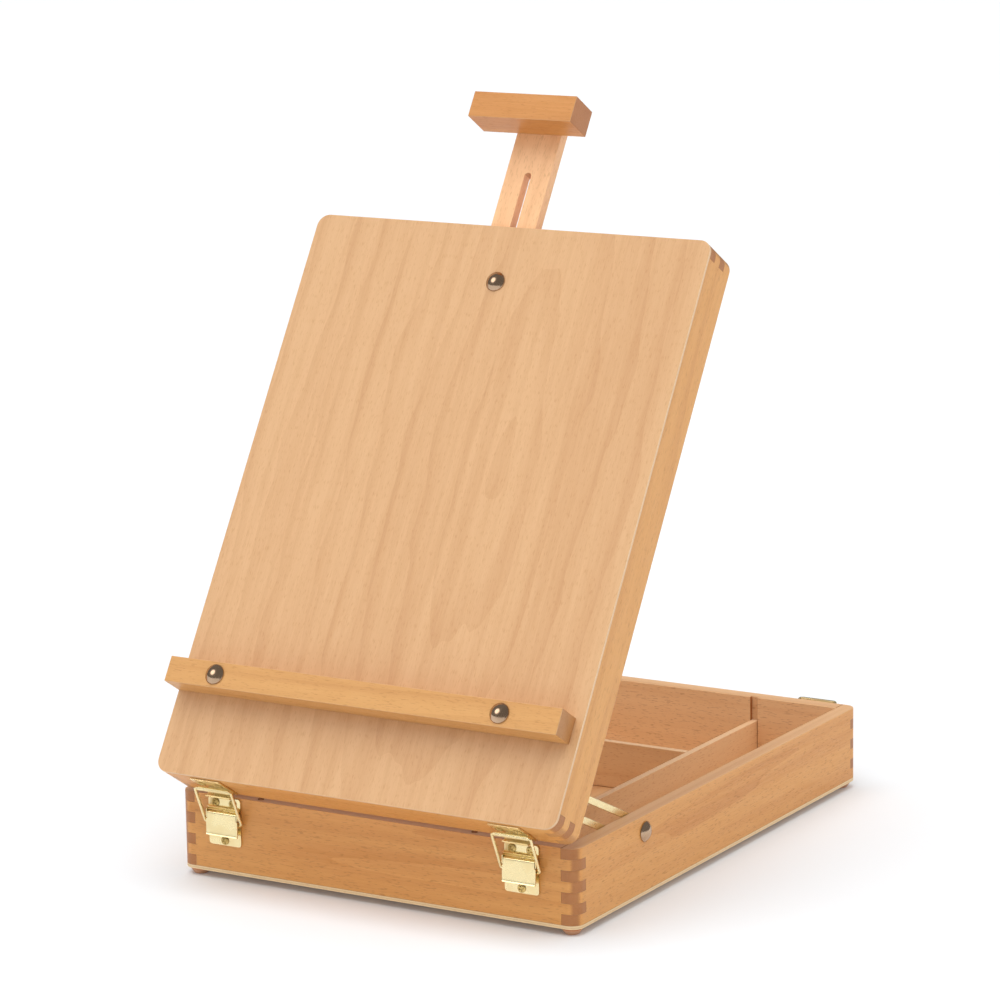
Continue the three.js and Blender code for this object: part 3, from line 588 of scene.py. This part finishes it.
def build_feet():
    """Four small turned feet, stained darker than the box."""
    look = wood("foot_beech", Z, STAINED, seed=16.2)
    for end in ENDS:
        for side in SIDES:
            node = f"foot_{end}_{side}"
            low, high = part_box(node)
            radius = (high.x - low.x) / 2
            height = high.z - low.z
            profile = [(across * radius, up * height) for across, up in FOOT_SHAPE]
            centre = middle(low, high)
            bm = bmesh.new()
            add_lathe(bm, profile, Matrix.Translation((centre.x, centre.y, low.z)), segments=56)
            show(f"turned_foot_{end}_{side}", bm, look, "box", [node])


# ---------------------------------------------------------------- bolts, nuts and screws

# A carriage bolt: the dome's radius and height, the shank's radius, the plain stretch under the
# head, and the smooth tip.
BOLT_DOME = 7.2 * MM
BOLT_CROWN = 3.6 * MM
BOLT_SHANK = 2.4 * MM
BOLT_PLAIN = 12 * MM
BOLT_TIP = 0.4 * MM

# The screw an arm turns on: the head's radius and height, and the shank's radius.
PIVOT_HEAD = 5.2 * MM
PIVOT_CROWN = 2.4 * MM
PIVOT_SHANK = 2.0 * MM

# The slim neck where an arm's slot passes over a side bolt: its start, its end and its radius.
SIDE_BOLT_NECK = (9 * MM, 11.1 * MM, 1.4 * MM)


def build_carriage_bolt(node, body, matrix, length, neck=None):
    """A carriage bolt lying along Z, its dome's crown at z = length, with a slim neck if given."""
    seat = length - BOLT_CROWN
    profile = [(0, 0), (BOLT_SHANK - 0.6 * MM, 0)]
    if neck:
        start, end, slim = neck
        profile += thread_profile(BOLT_TIP, start - 0.5 * MM, BOLT_SHANK)
        profile += [(BOLT_SHANK, start), (slim, start), (slim, end), (BOLT_SHANK, end)]
    else:
        profile += thread_profile(BOLT_TIP, seat - BOLT_PLAIN, BOLT_SHANK)
    profile += [(BOLT_SHANK, seat)] + dome_profile(BOLT_DOME, BOLT_CROWN, seat)
    bm = bmesh.new()
    add_lathe(bm, profile, matrix, segments=56)
    show(node + "_turned", bm, NICKEL, body, [node])


def build_bolts():
    """The bolts through the ledge, the mast's slot and the two side walls."""
    for node in ("ledge_bolt_left", "ledge_bolt_right", "mast_bolt"):
        low, high = closed_box(node)
        centre = middle(low, high)
        place = LID @ Matrix.Translation((centre.x, centre.y, low.z))
        build_carriage_bolt(node, "lid", place, high.z - low.z)
    for side in SIDES:
        node = f"side_bolt_{side}"
        low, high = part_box(node)
        centre = middle(low, high)
        inner = low.x if side == "right" else high.x
        turn = Matrix.Rotation(SIGN[side] * math.pi / 2, 4, "Y")
        place = Matrix.Translation((inner, centre.y, centre.z)) @ turn
        build_carriage_bolt(node, "box", place, high.x - low.x, neck=SIDE_BOLT_NECK)


def build_nuts():
    """The nuts behind the ledge's bolts."""
    for side in SIDES:
        eased(f"ledge_nut_{side}", NICKEL, "lid", 0.35 * MM)


def build_wing_nut(node, body):
    """A cast wing nut: the CAD solid rounded all over by a fine remesh and a few smoothing passes."""
    bm = clean_solid(node)
    mesh = bpy.data.meshes.new("casting")
    bm.to_mesh(mesh)
    bm.free()
    draft = bpy.data.objects.new("casting", mesh)
    bpy.context.scene.collection.objects.link(draft)
    remesh = draft.modifiers.new("remesh", "REMESH")
    remesh.mode = "VOXEL"
    remesh.voxel_size = 0.34 * MM
    smooth = draft.modifiers.new("smooth", "SMOOTH")
    smooth.iterations = 5
    smooth.factor = 0.5
    graph = bpy.context.evaluated_depsgraph_get()
    bm = bmesh.new()
    bm.from_mesh(draft.evaluated_get(graph).to_mesh())
    bpy.data.objects.remove(draft)
    show(node + "_cast", bm, ZINC, body, [node])


def build_head_screw(side):
    """A screw behind the mast's clamp block, its dome pointing down when the lid is shut."""
    node = f"mast_head_screw_{side}"
    low, high = closed_box(node)
    centre = middle(low, high)
    turn = Matrix.Rotation(math.pi, 4, "X")
    place = LID @ Matrix.Translation((centre.x, centre.y, high.z)) @ turn
    bm = bmesh.new()
    add_cross_head(bm, (high.x - low.x) / 2, high.z - low.z, place)
    show(node + "_pressed", bm, NICKEL, "mast", [node])


def build_arm_pivot(side):
    """The brass screw that an arm turns on, in the lid's side rail, with its head outside."""
    node = f"arm_pivot_{side}"
    low, high = closed_box(node)
    centre = middle(low, high)
    outer = high.x if side == "right" else low.x
    turn = Matrix.Rotation(-SIGN[side] * math.pi / 2, 4, "Y")
    place = LID @ Matrix.Translation((outer, centre.y, centre.z)) @ turn
    seat = high.x - low.x - PIVOT_CROWN
    profile = [(0, 0), (1.4 * MM, 0)] + thread_profile(0.5 * MM, 5 * MM, PIVOT_SHANK)
    profile += [(PIVOT_SHANK, 5.6 * MM), (PIVOT_SHANK, seat), (0, seat)]
    bm = bmesh.new()
    add_lathe(bm, profile, place, segments=28)
    add_cross_head(bm, PIVOT_HEAD, PIVOT_CROWN, place @ Matrix.Translation((0, 0, seat)))
    show(node + "_pressed", bm, BRASS, "lid", [node])


def build_locating_pin(side):
    """A short steel pin with a rounded top, standing in the box's front rim."""
    node = f"locating_pin_{side}"
    low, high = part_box(node)
    centre = middle(low, high)
    radius = (high.x - low.x) / 2
    height = high.z - low.z
    profile = [(0, 0), (0.8 * radius, 0), (radius, 0.3 * MM), (radius, height - 0.6 * MM),
               (0.86 * radius, height - 0.2 * MM), (0.5 * radius, height), (0, height)]
    bm = bmesh.new()
    add_lathe(bm, profile, Matrix.Translation((centre.x, centre.y, low.z)), segments=32)
    show(node + "_turned", bm, NICKEL, "box", [node])


# ---------------------------------------------------------------- draw latches

# Spots are (out, up): out from the wall's face, and up from the box's underside.
LEVER_PIN = Vector((3.4, 43.8)) * MM
BAIL_FOOT = Vector((2.9, 37.5)) * MM
BAIL_LEAN = {"front": math.radians(24), "rear": math.radians(69)}
BAIL_FOOT_END = {"front": 13.3 * MM, "rear": 10.9 * MM}

# The gap behind a latch's plates, the thickness of their sheets, and their screws' radius.
GAP = 0.3 * MM
BASE_SHEET = 1.0 * MM
THIN_SHEET = 0.9 * MM
PLATE_SCREW = 3.0 * MM

# The screws in the base plate and in the catch: x, up, and how far the cross is turned.
BASE_SCREWS = ((-7.1 * MM, 51.4 * MM, 0.5), (7.1 * MM, 51.4 * MM, 1.1), (0, 24.4 * MM, 0.3))
CATCH_SCREWS = ((-7.0 * MM, 20.5 * MM, 0.2), (7.0 * MM, 20.5 * MM, 0.9))


def latch_place(end, side):
    """A latch's own frame: on the wall's outer face, -Y away from the box, z = 0 at the underside."""
    low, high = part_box(f"latch_base_{end}_{side}")
    wall_low, wall_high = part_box(f"box_{end}_wall")
    face = wall_low.y if end == "front" else wall_high.y
    turn = Matrix.Rotation(0 if end == "front" else math.pi, 4, "Z")
    return Matrix.Translation(((low.x + high.x) / 2, face, UNDERSIDE.z)) @ turn


def add_plate_screws(bm, spots, base, face, height, place):
    """Adds a plate's screw heads, standing out from its face; their spots start at the level base."""
    for x, up, lean in spots:
        turn = Matrix.Rotation(math.pi / 2, 4, "X")
        spot = place @ Matrix.Translation((x, -face, base + up)) @ turn
        add_cross_head(bm, PLATE_SCREW, height, spot, lean=lean, index=1)


def add_ears(bm, half, thickness, outs, level, reach, place, width, segments=2):
    """Adds the two ears turned up at a latch part's sides, between two distances out."""
    for sign in (-1, 1):
        edges = sorted((sign * half, sign * (half - thickness)))
        low = (edges[0], -outs[1], level - reach)
        high = (edges[1], -outs[0], level + reach)
        add_block(bm, low, high, place, width, segments)


def ridged_line(skin):
    """The base plate from the side: flat, with two pressed ridges above the lever's pin."""
    bottom, top = 20.9 * MM, 55.2 * MM
    width, height, steps = 1.7 * MM, 1.9 * MM, 6
    line = [(skin, bottom)]
    for level in (46.1 * MM, 48.1 * MM):
        for step in range(steps + 1):
            out = skin + height * math.sin(math.pi * step / steps)
            line.append((out, level + width * (step / steps - 0.5)))
    return line + [(skin, top)]


def pin_profile(length):
    """A riveted pin with a small flat head at both ends."""
    shank, head, rim = 0.8 * MM, 1.2 * MM, 0.9 * MM
    thick, bevel = 0.5 * MM, 0.25 * MM
    end = [(0, 0), (rim, 0), (head, bevel), (head, thick), (shank, thick)]
    return end + [(radius, length - height) for radius, height in reversed(end)]


def build_latch_base(end, side, place):
    """The plate on the box's wall, with the lever's pin between its ears and three screws."""
    half = 13.2 * MM
    bm = bmesh.new()
    add_folded_sheet(bm, ridged_line(GAP + BASE_SHEET / 2), BASE_SHEET, half, place, corner=2.2 * MM)
    outs = (GAP + 0.2 * MM, 5.2 * MM)
    add_ears(bm, half, 0.9 * MM, outs, LEVER_PIN.y, 3.2 * MM, place, 0.3 * MM, segments=3)
    reach = half + 0.45 * MM
    start = Matrix.Translation((-reach, -LEVER_PIN.x, LEVER_PIN.y))
    turn = Matrix.Rotation(math.pi / 2, 4, "Y")
    add_lathe(bm, pin_profile(2 * reach), place @ start @ turn, segments=20)
    add_plate_screws(bm, BASE_SCREWS, 0, GAP + BASE_SHEET, 1.1 * MM, place)
    node = f"latch_base_{end}_{side}"
    show(node + "_pressed", bm, BRASS, "box", [node], screws=SCREW_SHADE_BRASS)


def build_latch_lever(end, side, place):
    """The lever: a plate with a flared lip at its foot, rolled about the pin, with ears for the bail."""
    half, knuckle_half = 12.9 * MM, 12.0 * MM
    roll = arc(LEVER_PIN, 1.45 * MM, 10, 180, 9)
    lip = [(5.7 * MM, 28.4 * MM), (5.2 * MM, 29.3 * MM), (4.9 * MM, 31.0 * MM)]
    plate = lip + [(4.8 * MM, 40.2 * MM)]
    neck = [(4.85 * MM, 39.4 * MM), (4.85 * MM, 43.2 * MM)] + roll
    bm = bmesh.new()
    add_folded_sheet(bm, plate, THIN_SHEET, half, place, corner=0.8 * MM)
    add_folded_sheet(bm, neck, THIN_SHEET, knuckle_half, place)
    outs = (1.7 * MM, 4.6 * MM)
    add_ears(bm, half, 1.0 * MM, outs, BAIL_FOOT.y, 2.3 * MM, place, 0.25 * MM)
    node = f"latch_lever_{end}_{side}"
    show(node + "_folded", bm, BRASS, node, [node])


def build_latch_bail(end, side, place):
    """The wire bail, its two feet turned in at the lever and its top run pressed to a flat band."""
    half, length, foot_end = 15.0 * MM, 28.8 * MM, BAIL_FOOT_END[end]
    wire, bend = 1.1 * MM, 1.4 * MM
    band_half, band_out, band_up = 13.6 * MM, 0.65 * MM, 1.5 * MM
    foot = Matrix.Translation((0, -BAIL_FOOT.x, BAIL_FOOT.y))
    place = place @ foot @ Matrix.Rotation(BAIL_LEAN[end], 4, "X")
    corners = [(-foot_end, 0, 0), (-half, 0, 0), (-half, 0, length), (half, 0, length), (half, 0, 0),
               (foot_end, 0, 0)]
    bm = bmesh.new()
    add_wire(bm, rounded_path(corners, bend), wire, place)
    low = (-band_half, -band_out, length - band_up)
    high = (band_half, band_out, length + band_up)
    add_block(bm, low, high, place, 0.4 * MM, segments=4)
    node = f"latch_bail_{end}_{side}"
    show(node + "_bent", bm, BRASS, node, [node])


def build_latch_catch(end, side, place):
    """The plate on the lid's rail, with a folded hook for the bail and two screws."""
    half, hook_half = 12.5 * MM, 10 * MM
    skin = GAP + THIN_SHEET / 2
    base = closed_box("lid_front_rail")[0].z - UNDERSIDE.z
    shelf, tip, bend = base + 5.7 * MM, 5.0 * MM, 0.9 * MM
    plate = [(skin, base + 1.6 * MM), (skin, base + 29 * MM)]
    hook = [(skin + 0.3 * MM, shelf), (tip, shelf)]
    hook += arc((tip, shelf + bend), bend, -60, 0, 4) + [(tip + bend, base + 8.0 * MM)]
    bm = bmesh.new()
    add_folded_sheet(bm, plate, THIN_SHEET, half, place, corner=1.0 * MM)
    add_folded_sheet(bm, hook, THIN_SHEET, hook_half, place)
    add_plate_screws(bm, CATCH_SCREWS, base, GAP + THIN_SHEET, 0.9 * MM, place)
    node = f"latch_catch_{end}_{side}"
    show(node + "_pressed", bm, BRASS, "lid", [node], screws=SCREW_SHADE_BRASS)


def build_latches():
    """Two latches on the front wall and two on the rear one, their catches on the lid."""
    for end in ENDS:
        for side in SIDES:
            place = latch_place(end, side)
            build_latch_base(end, side, place)
            build_latch_lever(end, side, place)
            build_latch_bail(end, side, place)
            build_latch_catch(end, side, LID @ place)


# ---------------------------------------------------------------- stage, lights and camera

def build_floor():
    """A wide plain floor, near white, under the feet."""
    place = (0, 0, FLOOR)
    bpy.ops.mesh.primitive_grid_add(x_subdivisions=2, y_subdivisions=2, size=60, location=place)
    floor = bpy.context.object
    floor.name = "floor"
    s = Shader("studio_white")
    cloud = s.noise(s.add("TexCoord", output="Object"), detail=2.0)
    white = s.mix(cloud, srgb(240, 243, 246), srgb(238, 241, 244))
    look = s.finish(Base_Color=white, Roughness=0.8, Specular_IOR_Level=0.1,
                    Emission_Color=(0.94, 1.0, 1.04, 1), Emission_Strength=0.05)
    floor.data.materials.append(look)


def build_world():
    """White all round for the camera and for soft light; metal sees a darker room with one softbox."""
    softbox = Vector((-0.50, -0.55, 0.67)).normalized()
    softbox_edge, softbox_full = math.radians(24), math.radians(14)
    white_strength, room_strength, softbox_strength = 0.60, 0.3, 3.2
    world = bpy.data.worlds.new("studio")
    world.use_nodes = True
    bpy.context.scene.world = world
    nodes, links = world.node_tree.nodes, world.node_tree.links
    soft = nodes["Background"]
    soft.inputs["Color"].default_value = (1, 1, 1, 1)
    soft.inputs["Strength"].default_value = white_strength
    coordinates = nodes.new("ShaderNodeTexCoord")
    dot = nodes.new("ShaderNodeVectorMath")
    dot.operation = "DOT_PRODUCT"
    dot.inputs[1].default_value = softbox
    brightness = nodes.new("ShaderNodeMapRange")
    brightness.interpolation_type = "SMOOTHSTEP"
    brightness.inputs["From Min"].default_value = math.cos(softbox_edge)
    brightness.inputs["From Max"].default_value = math.cos(softbox_full)
    brightness.inputs["To Min"].default_value = room_strength
    brightness.inputs["To Max"].default_value = softbox_strength
    room = nodes.new("ShaderNodeBackground")
    path = nodes.new("ShaderNodeLightPath")
    choice = nodes.new("ShaderNodeMixShader")
    links.new(coordinates.outputs["Generated"], dot.inputs[0])
    links.new(dot.outputs["Value"], brightness.inputs["Value"])
    links.new(brightness.outputs[0], room.inputs["Strength"])
    links.new(path.outputs["Is Glossy Ray"], choice.inputs[0])
    links.new(soft.outputs[0], choice.inputs[1])
    links.new(room.outputs[0], choice.inputs[2])
    links.new(choice.outputs[0], nodes["World Output"].inputs["Surface"])


def add_light(name, kind, location, target):
    """Adds a light aimed at a target, which mirrors on the metal don't show."""
    data = bpy.data.lights.new(name, kind)
    lamp = bpy.data.objects.new(name, data)
    lamp.location = location
    lamp.rotation_mode = "QUATERNION"
    lamp.rotation_quaternion = (Vector(target) - Vector(location)).to_track_quat("-Z", "Y")
    lamp.visible_glossy = False
    bpy.context.scene.collection.objects.link(lamp)
    return data


def build_lights():
    """A broad light from high in front for the shadows, and a soft fill into the box from the right."""
    key = add_light("key", "SUN", (-0.1, -0.35, 1.7), (0, 0, 0))
    key.energy = 1.75
    key.angle = math.radians(56)
    fill = add_light("fill", "AREA", (2.3, 0.5, 1.9), (0, 0, 0.2))
    fill.shape = "DISK"
    fill.size = 1.6
    fill.energy = 7
    fill.color = (1.0, 0.95, 0.88)


def build_camera():
    """A long lens from the front right, looking a little down and tipped by less than a degree."""
    spot = UNDERSIDE + Vector((1.4776, -2.5134, 0.8483))
    turn, dip, roll = math.radians(30.82), math.radians(11.83), math.radians(-0.86)
    flat = math.cos(dip)
    ahead = Vector((-math.sin(turn) * flat, math.cos(turn) * flat, -math.sin(dip)))
    level = ahead.cross(Vector((0, 0, 1))).normalized()
    upright = level.cross(ahead)
    right = level * math.cos(roll) + upright * math.sin(roll)
    up = upright * math.cos(roll) - level * math.sin(roll)
    data = bpy.data.cameras.new("view")
    data.sensor_width = 36
    data.lens = 150.66
    data.clip_start = 0.05
    data.clip_end = 200
    camera = bpy.data.objects.new("view", data)
    camera.matrix_world = Matrix((
        (right.x, up.x, -ahead.x, spot.x),
        (right.y, up.y, -ahead.y, spot.y),
        (right.z, up.z, -ahead.z, spot.z),
        (0, 0, 0, 1)))
    bpy.context.scene.collection.objects.link(camera)
    bpy.context.scene.camera = camera


build_box_timber()
build_lid_timber()
build_feet()
build_bolts()
build_nuts()
for side in SIDES:
    build_head_screw(side)
    build_arm_pivot(side)
    build_locating_pin(side)
for side in SIDES:
    build_wing_nut(f"side_wing_nut_{side}", f"side_wing_nut_{side}")
    eased(f"arm_{side}", BRASS, f"arm_{side}", 0.3 * MM)
build_wing_nut("mast_wing_nut", "mast_wing_nut")
build_latches()
build_floor()
build_world()
build_lights()
build_camera()
bpy.context.scene.view_settings.view_transform = "Standard"
